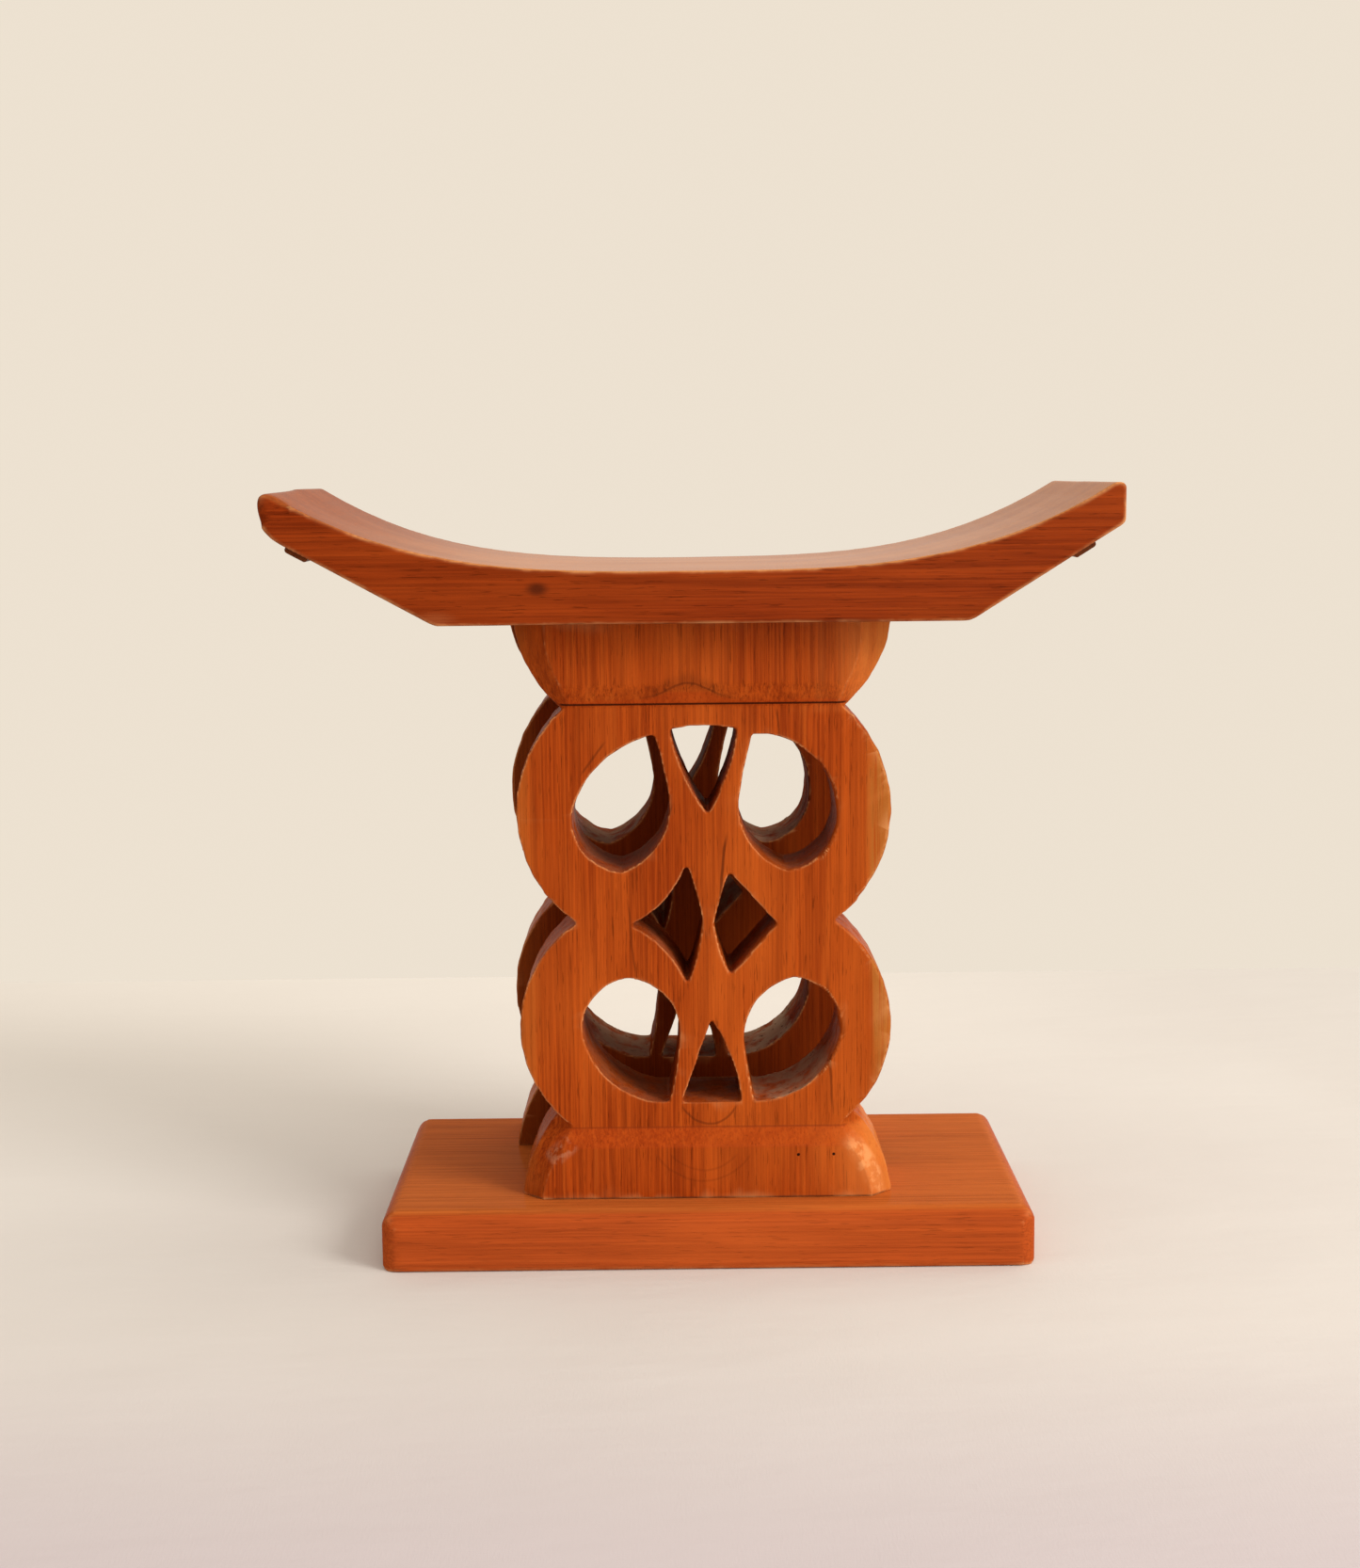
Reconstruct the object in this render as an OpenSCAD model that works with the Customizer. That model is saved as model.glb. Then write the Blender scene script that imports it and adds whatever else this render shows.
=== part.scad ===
// Pedestal stool with a saddle seat. A curved plank seat stands on two pierced boards, one behind
// the other, and the boards stand on a flat plank base. Dowels hold the boards at both ends, and a
// nailed cleat under each end of the seat keeps its plank flat.
// Millimetres, +Z up, +X along the seat, the front faces -Y.
// The origin is on the floor, under the middle of the seat.

/* [Seat] */
// Length of the seat plank, end to end
seat_w = 446; // [380:1:540]
// Depth of the seat plank, front to back
seat_d = 206; // [172:1:250]
// Height of the seat plank, from its flat underside to its end tops
seat_plank_t = 70; // [60:0.5:84]
// Thickness left under the lowest point of the saddle
seat_middle_t = 27; // [22:0.5:34]
// Length of the flat middle of the underside, between the two sloping parts
seat_flat_w = 276; // [230:1:300]
// Height of each end face, between the sloping underside and the end top
seat_end_t = 20.5; // [18:0.5:26]
// Length of the flat top that is left at each end
seat_land_w = 5; // [4:0.5:12]
// Rounding under the left end, which is worn to a nose
seat_nose_r = 24; // [3:0.5:28]
// Rounding under the right end
seat_tail_r = 4; // [1:0.5:10]
// Rounding of the top edge of both ends
seat_top_r = 3; // [1:0.5:4]
// Rounding where the underside turns up towards each end
seat_belly_r = 12; // [2:1:30]

/* [Base] */
// Length of the base plank
base_w = 350; // [290:1:420]
// Depth of the base plank, front to back
base_d = 196; // [186:1:240]
// Thickness of the base plank
base_t = 32; // [26:0.5:40]
// Rounding of the base's top edges
base_top_r = 9; // [4:0.5:12]
// Rounding of the base's bottom edges
base_bottom_r = 2; // [1:0.5:4]
// Rounding of the base's four upright corners
base_corner_r = 10; // [5:0.5:20]

/* [Column boards] */
// Height of each column board, from the base to the seat
board_h = 312.5; // [285:0.5:375]
// Thickness of each board between its two flat faces
board_t = 54; // [45:0.5:65]
// Open gap between the front board and the back board
board_gap = 46; // [38:0.5:56]
// Half width of a board at its two round lobes
lobe_half_w = 100; // [90:0.5:120]
// Half width at the waist between the lobes
waist_half_w = 69; // [60:0.5:76]
// How far the waist is below the middle of the lobes
waist_drop = 2.5; // [0:0.5:5]
// Half width at each neck, where the lobes meet the foot and the capital
neck_half_w = 72; // [64:0.5:78]
// Height of the foot, under the lower lobe
foot_h = 38.5; // [32:0.5:46]
// Height of the capital, over the upper lobe
capital_h = 44; // [37:0.5:53]
// Half width of the foot and of the capital at their wide ends
flare_half_w = 100.5; // [92:0.5:120]
// How far the foot and the capital stand out from the face of the board
flare_proud = 5; // [3:0.5:8]
// Depth of the small step where the capital overhangs the face of the board
capital_step = 1.5; // [0.5:0.25:2.5]
// How far the upright edge of the foot is sliced off at the base
foot_corner_cut = 11; // [6:0.5:16]
// How far the upright edge of the capital is sliced off under the seat
capital_corner_cut = 17; // [8:0.5:20]

/* [Piercings] */
// Width of the wood outside each eye
rim_w = 29.5; // [24:0.5:36]
// Height of the wood between the piercings and the foot or the capital
bridge_h = 13.5; // [9:0.5:18]
// Height of the wood between the waist and the upper eyes
upper_waist_band = 27.5; // [22:0.5:34]
// Height of the wood between the lower eyes and the waist
lower_waist_band = 30.5; // [24:0.5:36]
// Distance from the centre line to the inner side of an eye
eye_inner_x = 18.5; // [15:0.5:21]
// Half width of the wedge at the top, and of the spire at the bottom
wedge_half_w = 18; // [13:0.5:20]
// Height of the wedge and of the spire
wedge_h = 46; // [38:0.5:54]
// Width of the strap between the wedge and an eye
strap_w = 8; // [6:0.5:11]
// Distance from the centre line to a diamond's inner point
diamond_inner_x = 3; // [2.5:0.5:6]
// Distance from the centre line to a diamond's upper and lower points
diamond_tip_x = 11.5; // [8:0.5:14]
// Reach of the left diamond from the centre line
left_diamond_reach = 42; // [34:0.5:48]
// Reach of the right diamond from the centre line
right_diamond_reach = 37; // [30:0.5:44]
// Half height of the left diamond
left_diamond_half_h = 33; // [27:0.5:36]
// Half height of the right diamond
right_diamond_half_h = 28.5; // [24:0.5:34]
// How far the front board's hand-cut pattern drifts to the right, from its top to its bottom
pattern_drift = 3.5; // [0:0.5:4]
// Size of the back board's two diamonds, as a share of the front board's
back_diamond_share = 0.7; // [0.6:0.05:1]
// How much further from the centre line the back board's diamonds are cut
back_diamond_spread = 6; // [0:0.5:8]
// Upward slant of the back board's diamonds towards its outer face, in degrees
back_diamond_slant = 12; // [0:0.5:15]

/* [Hand-set places] */
// The column and the base stand this far to the right of the seat's middle
column_x = 6; // [0:0.5:10]
// The column stands this far behind the seat's middle
column_y = 3; // [-3:0.5:5]
// The base stands this far in front of the seat's middle
base_y = 5; // [0:0.5:8]
// The back board stands this far to the left of the front board
back_board_shift = 9; // [0:0.5:12]

/* [Dowels] */
// Diameter of each dowel
dowel_d = 12; // [8:0.5:15]
// Distance between the two dowels of a board
dowel_pitch = 100; // [70:1:130]
// How far a dowel goes into the base
dowel_in_base = 20; // [14:0.5:22]
// How far a dowel goes into the seat
dowel_in_seat = 15; // [10:0.5:18]
// How far a dowel goes into a board
dowel_in_board = 22; // [16:0.5:24]
// Glue room between a dowel and its bore, all round
dowel_clearance = 0.15; // [0.1:0.05:0.3]
// Glue room past each end of a dowel
dowel_end_room = 1.5; // [1:0.25:2]

/* [Cleats] */
// Width of a cleat, along the slope
cleat_w = 13; // [11:0.5:18]
// Thickness of a cleat
cleat_t = 4.5; // [3:0.5:7]
// Distance from a cleat's end to the front or the back of the seat
cleat_setback = 20; // [12:1:30]
// Distance from the seat's end to the middle of a cleat, along X
cleat_from_end = 19; // [15:0.5:30]
// Rounding of a cleat's four lower corners
cleat_end_r = 2; // [1:0.25:2.5]
// Number of nails in each cleat
cleat_nails = 3; // [2:1:5]
// Diameter of a nail
nail_d = 2; // [1.5:0.1:2.5]
// Diameter of a nail's head
nail_head_d = 5; // [4:0.5:6]
// Thickness of a nail's head
nail_head_t = 0.8; // [0.5:0.1:1]
// Length of a nail under its head
nail_length = 16; // [12:0.5:18]
// Clearance round a nail in its hole
nail_clearance = 0.1; // [0.05:0.05:0.2]
// Distance from a cleat's end to its first nail
nail_from_end = 14; // [10:1:24]

/* [Hidden] */
$fn = 48;

// a little more than nothing, so that a cutter runs past the face it opens
past = 1;
// how late the saddle turns up: 2 is a parabola
saddle_power = 3.2;
// how its points crowd towards the ends: 1 is evenly
saddle_crowding = 0.8;
// steps along each half of the saddle, each arc, each rounded corner and each flare
saddle_steps = 14;
arc_steps = 12;
corner_steps = 5;
flare_steps = 8;

// a flare's face is upright for this share of its height, then curves in to the neck;
// a power over 1 makes the start of that curve soft
flare_straight = 0.75;
flare_power = 1.2;
// a foot and a capital run on behind the lobes by this much, and are this much wider there
foot_rise = 12;
capital_drop = 3;
neck_fill = 2;
// the sliced corner runs into the lobe this much outside the neck
corner_fill = 1;
// the lobes run on into the foot and the capital by this much, whose faces dive behind the
// board's face by the first depth where the foot meets it and by the second past the neck
lobe_tail = 4;
foot_dive = 0.4;
flare_sink = 2;
// bow of the foot's and the capital's ends and of their sliced corners, as a share of the height
foot_bow = 0.097;
capital_bow = 0.1;
corner_bow = 0.1;

// an eye's tip is this far from the wedge's or the spire's wide end, and a lower eye this much
// nearer to the centre line than an upper one
eye_tip_gap = 3;
lower_eye_inset = 1;
// how far up an eye its widest places are, as a share of its height
eye_inner_share = 0.5;
upper_outer_share = 0.4;
lower_outer_share = 0.55;
// bows of an eye's sides: nearly straight along the strap, round elsewhere, each cut by hand
eye_strap_bow = 0.02;
eye_inner_bow = 0.17;
eye_round_bow = 0.2;
lower_outer_bow = 0.175;
right_upper_bow = 0.22;
left_upper_bow = 0.15;
right_lower_bow = 0.18;
left_lower_bow = 0.22;
// bows of the wedge's top and sides and of the spire's right side
wedge_top_bow = 0.04;
wedge_side_bow = 0.05;
spire_side_bow = 0.06;
// the spire is this much narrower than the wedge, and the diamonds sit this far under the waist
spire_narrowing = 2;
diamond_drop = 1.5;
// bows of a diamond's inner sides, and of the left one's hollow outer sides
diamond_inner_bow = 0.03;
left_diamond_bow = -0.1;

// easing of a dowel's two ends
dowel_ease = 1.2;

// heights above the floor
seat_z = base_t + board_h;
seat_end_z = seat_plank_t - seat_end_t;

// heights above the bottom of a board
foot_top = foot_h;
capital_bottom = board_h - capital_h;
waist_z = (foot_top + capital_bottom) / 2 - waist_drop;
lower_cut_z = foot_top + bridge_h;
upper_cut_z = capital_bottom - bridge_h;

// the boards, in depth: a board's own Y is 0 at its flat outer face
board_outer_y = board_gap / 2 + board_t;
dowel_y = board_t / 2;

// the eyes, measured from the pattern's centre line
eye_outer_x = lobe_half_w - rim_w;
eye_round_x = (eye_outer_x + eye_inner_x) / 2;
eye_tip_x = wedge_half_w + strap_w;
spire_half_w = wedge_half_w - spire_narrowing;
upper_eye_low = waist_z + upper_waist_band;
lower_eye_high = waist_z - lower_waist_band;
upper_eye_h = upper_cut_z - upper_eye_low;
lower_eye_h = lower_eye_high - lower_cut_z;

function unit(v) = v / norm(v);

// the flat underside is centred on the column, so the two sloping parts differ in length;
// side is -1 at the left and 1 at the right
function flat_reach(side) = seat_flat_w / 2 + side * column_x;
function slope(side) = atan2(seat_end_z, seat_w / 2 - flat_reach(side));

// points of the arc from p to q that bows to the right of its way by `bow` times its length
function arc(p, q, bow) =
    bow == 0 ? [p] :
    let (along = unit(q - p))
    let (aside = [along.y, -along.x])
    let (half = 2 * atan(2 * bow))
    let (r = norm(q - p) / 2 / sin(half))
    let (centre = (p + q) / 2 - aside * r * cos(half))
    [for (i = [0:arc_steps - 1])
        let (a = half * (2 * i / arc_steps - 1))
        centre + aside * r * cos(a) + along * r * sin(a)];

// closed outline through corners [x, z, bow of the side that leaves the corner]
function bowed(corners) =
    [for (i = [0:len(corners) - 1])
        let (c = corners[i])
        let (d = corners[(i + 1) % len(corners)])
        each arc([c.x, c.y], [d.x, d.y], c.z)];

// points of the arc that rounds the corner b of the way a, b, c
function round_corner(a, b, c, r) =
    let (back = unit(a - b))
    let (on = unit(c - b))
    let (half = acos(back * on) / 2)
    let (centre = b + unit(back + on) * r / sin(half))
    let (first = b + back * r / tan(half) - centre)
    let (last = b + on * r / tan(half) - centre)
    [for (i = [0:corner_steps])
        let (t = i / corner_steps)
        let (turn = 180 - 2 * half)
        centre + (first * sin(turn * (1 - t)) + last * sin(turn * t)) / sin(turn)];

// closed outline through corners [x, z, radius], each rounded by its radius
function rounded(corners) =
    [for (i = [0:len(corners) - 1])
        let (n = len(corners))
        let (a = corners[(i + n - 1) % n])
        let (b = corners[i])
        let (c = corners[(i + 1) % n])
        each (b.z == 0 ? [[b.x, b.y]]
            : round_corner([a.x, a.y], [b.x, b.y], [c.x, c.y], b.z))];

// [-x, z, bow] corners in the opposite order, so that a left outline repeats a right one
function mirrored(corners) =
    [for (i = [len(corners) - 1:-1:0])
        let (n = len(corners))
        [-corners[i].x, corners[i].y, corners[(i + n - 1) % n].z]];

// ---------- seat ----------

// height of the saddle over the underside at x: nearly flat in the middle, steep at the ends
function saddle(x) =
    let (reach = seat_w / 2 - seat_land_w)
    seat_middle_t + (seat_plank_t - seat_middle_t) * pow(abs(x) / reach, saddle_power);

// X places of the points along the saddle, closer together near the ends
function saddle_x(i) =
    let (t = i / saddle_steps)
    sign(t) * (seat_w / 2 - seat_land_w) * pow(abs(t), saddle_crowding);

// draws an outline of X and Z as a solid that runs from y0 to y1
module along_y(y0, y1)
    translate([0, y1, 0]) rotate([90, 0, 0]) linear_extrude(y1 - y0) children();

module seat_outline() {
    half = seat_w / 2;
    underside = [
        [-flat_reach(-1), 0, seat_belly_r],
        [flat_reach(1), 0, seat_belly_r],
        [half, seat_end_z, seat_tail_r],
        [half, seat_plank_t, seat_top_r]
    ];
    top = [for (i = [saddle_steps:-1:-saddle_steps]) [saddle_x(i), saddle(saddle_x(i)), 0]];
    left_end = [
        [-half, seat_plank_t, seat_top_r],
        [-half, seat_end_z, seat_nose_r]
    ];
    polygon(rounded(concat(underside, top, left_end)));
}

module seat() {
    color("#9c4322")
    difference() {
        translate([0, 0, seat_z])
            along_y(-seat_d / 2, seat_d / 2)
            seat_outline();
        at_each_dowel() dowel_bore(seat_z, dowel_in_seat);
        at_cleat(-1) nail_holes();
        at_cleat(1) nail_holes();
    }
}

// ---------- base ----------

// upright outline of the base, w long, with its top and bottom edges rounded
module base_outline(w)
    polygon(rounded([
        [-w / 2, 0, base_bottom_r],
        [w / 2, 0, base_bottom_r],
        [w / 2, base_t, base_top_r],
        [-w / 2, base_t, base_top_r]
    ]));

module base_plan()
    polygon(rounded([
        [-base_w / 2, -base_d / 2, base_corner_r],
        [base_w / 2, -base_d / 2, base_corner_r],
        [base_w / 2, base_d / 2, base_corner_r],
        [-base_w / 2, base_d / 2, base_corner_r]
    ]));

module base() {
    color("#b0501f")
    difference() {
        translate([column_x, -base_y, 0])
        intersection() {
            linear_extrude(base_t) base_plan();
            along_y(-base_d / 2, base_d / 2) base_outline(base_w);
            rotate([0, 0, 90]) along_y(-base_w / 2, base_w / 2) base_outline(base_d);
        }
        at_each_dowel() dowel_bore(base_t - dowel_in_base, dowel_in_base);
    }
}

// ---------- column boards ----------

// bow of a lobe that is h high, so that its widest point is at lobe_half_w
function lobe_bow(h) =
    (lobe_half_w - (neck_half_w + waist_half_w) / 2) / norm([h, neck_half_w - waist_half_w]);

// front view of the two lobes, from the foot's top to the capital's bottom
module lobes_outline() {
    lower_bow = lobe_bow(waist_z - foot_top);
    upper_bow = lobe_bow(capital_bottom - waist_z);
    right = [
        [neck_half_w, foot_top - lobe_tail, 0],
        [neck_half_w, foot_top, lower_bow],
        [waist_half_w, waist_z, upper_bow],
        [neck_half_w, capital_bottom, 0],
        [neck_half_w, capital_bottom + lobe_tail, 0]
    ];
    left = [
        [-neck_half_w, capital_bottom + lobe_tail, 0],
        [-neck_half_w, capital_bottom, upper_bow],
        [-waist_half_w, waist_z, lower_bow],
        [-neck_half_w, foot_top, 0],
        [-neck_half_w, foot_top - lobe_tail, 0]
    ];
    polygon(bowed(concat(right, left)));
}

// width at height z of the arc from [wide, 0] to [neck, h] that bows outwards by `bow`
function arc_width(wide, neck, h, bow, z) =
    let (p = [wide, 0])
    let (q = [neck, h])
    let (along = unit(q - p))
    let (half = 2 * atan(2 * bow))
    let (r = norm(q - p) / 2 / sin(half))
    let (centre = (p + q) / 2 - [along.y, -along.x] * r * cos(half))
    centre.x + sqrt(r * r - pow(z - centre.y, 2));

// share of the flare's stand-out that is left at height z under a neck at face_h
function stand_out(z, face_h) =
    let (t = (z / face_h - flare_straight) / (1 - flare_straight))
    t <= 0 ? 1 : t >= 1 ? 0 : 1 - pow(t, flare_power);

// the heights at which a flare's three outlines have their points
function flare_levels(h, face_h) = concat(
    [for (i = [0:flare_steps]) face_h * i / flare_steps],
    [for (i = [1:2]) face_h + (h - face_h) * i / 2]
);

// front view of a flare: the wide end at z = 0, the neck at z = h
module flare_front(h, face_h, bow) {
    side = [
        for (z = flare_levels(h, face_h))
            [arc_width(flare_half_w, neck_half_w + neck_fill, h, bow, z), z]
    ];
    polygon(concat(side, [for (i = [len(side) - 1:-1:0]) [-side[i].x, side[i].y]]));
}

// side view of a flare: X is depth from the board's face. `lip` is left proud at the neck, and
// a negative one dives behind the face
module flare_side(h, face_h, lip) {
    face = [
        for (z = flare_levels(h, face_h))
            if (z <= face_h)
                [-lip - (flare_proud - lip) * stand_out(z, face_h), z]
    ];
    polygon(concat([[board_t, h], [board_t, 0]], face, [[flare_sink, face_h], [flare_sink, h]]));
}

// view of a flare's corner along the diagonal, which slices off its upright edge
module flare_corner(h, face_h, wide_cut) {
    wide = flare_half_w + flare_proud - wide_cut;
    neck = neck_half_w + corner_fill;
    side = [
        for (z = flare_levels(h, face_h))
            [arc_width(wide, neck, face_h, corner_bow, min(z, face_h)) / sqrt(2), z]
    ];
    polygon(concat(side, [[-2 * flare_half_w, h], [-2 * flare_half_w, 0]]));
}

// the solid of a foot or a capital, with its wide end at z = 0 and its neck upwards
module flare(h, face_h, lip, bow, wide_cut) {
    across = 2 * flare_half_w;
    intersection() {
        along_y(-flare_proud, board_t) flare_front(h, face_h, bow);
        rotate([90, 0, 90])
            translate([0, 0, -flare_half_w])
            linear_extrude(across)
            flare_side(h, face_h, lip);
        rotate([0, 0, -45]) along_y(-across, across) flare_corner(h, face_h, wide_cut);
        mirror([1, 0, 0])
            rotate([0, 0, -45])
            along_y(-across, across)
            flare_corner(h, face_h, wide_cut);
    }
}

// drift of the pattern's centre line at height z, for a pattern that drifts by `total`
function drift(total, z) = total * (upper_cut_z - z) / (upper_cut_z - lower_cut_z);

// an upper eye, on the right: its tip, inner side, round end and outer side
function upper_eye(outer_bow) = [
    [eye_tip_x, upper_cut_z - eye_tip_gap, eye_strap_bow],
    [eye_inner_x, upper_eye_low + upper_eye_h * eye_inner_share, eye_inner_bow],
    [eye_round_x, upper_eye_low, eye_round_bow],
    [eye_outer_x, upper_eye_low + upper_eye_h * upper_outer_share, outer_bow]
];

// a lower eye, on the right: its tip, outer side, round end and inner side
function lower_eye(round_bow) = [
    [eye_tip_x - eye_tip_gap, lower_cut_z, lower_outer_bow],
    [
        eye_outer_x - lower_eye_inset,
        lower_cut_z + lower_eye_h * lower_outer_share,
        eye_round_bow
    ],
    [eye_round_x, lower_eye_high, round_bow],
    [
        eye_inner_x - lower_eye_inset,
        lower_cut_z + lower_eye_h * eye_inner_share,
        eye_strap_bow
    ]
];

// a diamond, on the right, about the waist's height, drawn at `share` of its full size
function diamond(reach, half_h, hollow, share) = [
    [diamond_tip_x * share, -half_h * share, hollow],
    [reach * share, 0, hollow],
    [diamond_tip_x * share, half_h * share, diamond_inner_bow],
    [diamond_inner_x * share, 0, diamond_inner_bow]
];

// the wedge, whose point follows the drift
function wedge(total) = [
    [wedge_half_w, upper_cut_z, wedge_top_bow],
    [-wedge_half_w, upper_cut_z, wedge_side_bow],
    [drift(total, waist_z), upper_cut_z - wedge_h, wedge_side_bow]
];

spire = [
    [-spire_half_w, lower_cut_z, 0],
    [spire_half_w, lower_cut_z, spire_side_bow],
    [0, lower_cut_z + wedge_h, 0]
];

// front view of a board's eyes, wedge and spire; no two eyes are cut quite alike
module piercings_outline(total) {
    polygon(bowed(upper_eye(right_upper_bow)));
    polygon(bowed(mirrored(upper_eye(left_upper_bow))));
    polygon(bowed(wedge(total)));
    translate([drift(total, (lower_cut_z + lower_eye_high) / 2), 0]) {
        polygon(bowed(lower_eye(right_lower_bow)));
        polygon(bowed(mirrored(lower_eye(left_lower_bow))));
        polygon(bowed(spire));
    }
}

// front view of a board's two diamonds, `spread` further from the centre line than usual
module diamonds_outline(share, spread) {
    translate([spread, 0])
        polygon(bowed(diamond(right_diamond_reach, right_diamond_half_h, 0, share)));
    translate([-spread, 0])
        polygon(bowed(mirrored(
            diamond(left_diamond_reach, left_diamond_half_h, left_diamond_bow, share)
        )));
}

// the front board's diamonds are cut straight through it
module front_diamonds()
    translate([drift(pattern_drift, waist_z), 0, waist_z - diamond_drop])
    along_y(-past, board_t + past)
    diamonds_outline(share = 1, spread = 0);

// the back board's are cut from its inner face, at a slant
module back_diamonds() {
    overrun = past + left_diamond_half_h * tan(back_diamond_slant);
    translate([0, board_t, waist_z - diamond_drop])
        rotate([-back_diamond_slant, 0, 0])
        along_y(-board_t / cos(back_diamond_slant) - overrun, overrun)
        diamonds_outline(back_diamond_share, back_diamond_spread);
}

// one board: its flat outer face at y = 0, its inner face at y = board_t, its foot at z = 0;
// `total` is its pattern's drift, and its diamonds are the child
module board(total) {
    difference() {
        union() {
            along_y(0, board_t) lobes_outline();
            flare(foot_h + foot_rise, foot_h, -foot_dive, foot_bow, foot_corner_cut);
            translate([0, 0, board_h])
                mirror([0, 0, 1])
                flare(capital_h + capital_drop, capital_h, capital_step, capital_bow,
                      capital_corner_cut);
        }
        along_y(-past, board_t + past) piercings_outline(total);
        children();
    }
}

// puts a board's own frame at the front of the column, or turned about at the back
module at_front() translate([column_x, column_y - board_outer_y, base_t]) children();
module at_back()
    translate([column_x - back_board_shift, column_y + board_outer_y, base_t])
    mirror([0, 1, 0])
    children();

module front_board() {
    color("#c0621f")
    difference() {
        at_front() board(total = pattern_drift) front_diamonds();
        at_each_dowel() board_bores();
    }
}

module back_board() {
    color("#8e3d17")
    difference() {
        at_back() board(total = 0) back_diamonds();
        at_each_dowel() board_bores();
    }
}

// ---------- dowels ----------

// puts a dowel's upright axis at one place: depth is -1 at the front, side is -1 at the left
module at_dowel(depth, side)
    translate([
        column_x - (depth > 0 ? back_board_shift : 0) + side * dowel_pitch / 2,
        column_y + depth * (board_outer_y - dowel_y),
        0
    ]) children();

module at_each_dowel()
    for (depth = [-1, 1])
        for (side = [-1, 1])
            at_dowel(depth, side) children();

// bore for a dowel's end that is `deep` long, starting at height z, with glue room past it
module dowel_bore(z, deep) {
    low = z == seat_z ? z - past : z - dowel_end_room;
    high = z == seat_z ? z + deep + dowel_end_room : z + deep + past;
    translate([0, 0, low]) cylinder(d = dowel_d + 2 * dowel_clearance, h = high - low);
}

// the bores in the foot and in the capital of a board
module board_bores() {
    bore = dowel_in_board + dowel_end_room + past;
    translate([0, 0, base_t - past])
        cylinder(d = dowel_d + 2 * dowel_clearance, h = bore);
    translate([0, 0, seat_z + past - bore])
        cylinder(d = dowel_d + 2 * dowel_clearance, h = bore);
}

// a dowel with eased ends, from height z up
module dowel(z, length) {
    translate([0, 0, z])
        rotate_extrude()
        polygon([
            [0, 0],
            [dowel_d / 2 - dowel_ease, 0],
            [dowel_d / 2, dowel_ease],
            [dowel_d / 2, length - dowel_ease],
            [dowel_d / 2 - dowel_ease, length],
            [0, length]
        ]);
}

module foot_dowel(depth, side)
    color("#d9a866")
    at_dowel(depth, side)
    dowel(base_t - dowel_in_base, dowel_in_base + dowel_in_board);

module head_dowel(depth, side)
    color("#d9a866")
    at_dowel(depth, side)
    dowel(seat_z - dowel_in_board, dowel_in_board + dowel_in_seat);

// ---------- cleats ----------

// puts the origin on the sloping underside, with +Z out of the wood and X along the slope
module at_cleat(side)
    mirror([side < 0 ? 1 : 0, 0, 0])
    translate([
        seat_w / 2 - cleat_from_end,
        0,
        seat_z + seat_end_z - cleat_from_end * tan(slope(side))
    ])
    rotate([0, 180 - slope(side), 0])
    children();

module at_each_nail() {
    first = seat_d / 2 - cleat_setback - nail_from_end;
    for (i = [0:cleat_nails - 1])
        translate([0, -first + 2 * first * i / (cleat_nails - 1), 0]) children();
}

module cleat(side) {
    length = seat_d - 2 * cleat_setback;
    profile = [
        [-cleat_w / 2, 0, 0],
        [cleat_w / 2, 0, 0],
        [cleat_w / 2, cleat_t, cleat_end_r],
        [-cleat_w / 2, cleat_t, cleat_end_r]
    ];
    ends = [
        [-length / 2, 0, 0],
        [length / 2, 0, 0],
        [length / 2, cleat_t, cleat_end_r],
        [-length / 2, cleat_t, cleat_end_r]
    ];
    color("#5f2c1c")
    at_cleat(side)
    difference() {
        intersection() {
            along_y(-length / 2, length / 2) polygon(rounded(profile));
            rotate([0, 0, 90]) along_y(-cleat_w / 2, cleat_w / 2) polygon(rounded(ends));
        }
        nail_holes();
    }
}

module left_cleat() cleat(-1);
module right_cleat() cleat(1);

module nail_holes()
    at_each_nail()
    translate([0, 0, cleat_t - nail_head_t - nail_clearance]) {
        cylinder(d = nail_head_d + 2 * nail_clearance, h = nail_head_t + past);
        translate([0, 0, -nail_length - nail_clearance])
            cylinder(d = nail_d + 2 * nail_clearance, h = nail_length + nail_clearance + past / 2);
    }

module nails(side)
    color("#8a8178")
    at_cleat(side)
    at_each_nail()
    translate([0, 0, cleat_t - nail_head_t]) {
        cylinder(d = nail_head_d, h = nail_head_t);
        translate([0, 0, -nail_length]) cylinder(d = nail_d, h = nail_length);
    }

seat();
base();
front_board();
back_board();
left_cleat();
right_cleat();
nails(-1);  // left_cleat_nails
nails(1);  // right_cleat_nails
foot_dowel(-1, -1);  // front_foot_dowel_left
foot_dowel(-1, 1);  // front_foot_dowel_right
foot_dowel(1, -1);  // back_foot_dowel_left
foot_dowel(1, 1);  // back_foot_dowel_right
head_dowel(-1, -1);  // front_head_dowel_left
head_dowel(-1, 1);  // front_head_dowel_right
head_dowel(1, -1);  // back_head_dowel_left
head_dowel(1, 1);  // back_head_dowel_right
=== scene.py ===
# %% [markdown]
# # A pedestal stool, from planks to varnish
# The stool is four big pieces of hardwood: a saddle-shaped seat, two pierced boards and a flat base.
# Two thin cleats are nailed under the seat. The exact solids come from the frame; this lesson gives
# the wood its eased edges, its tool marks, its grain and its varnish.

# %% Load the frame
import math

import bpy
from mathutils import Euler, Matrix, Vector


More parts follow.
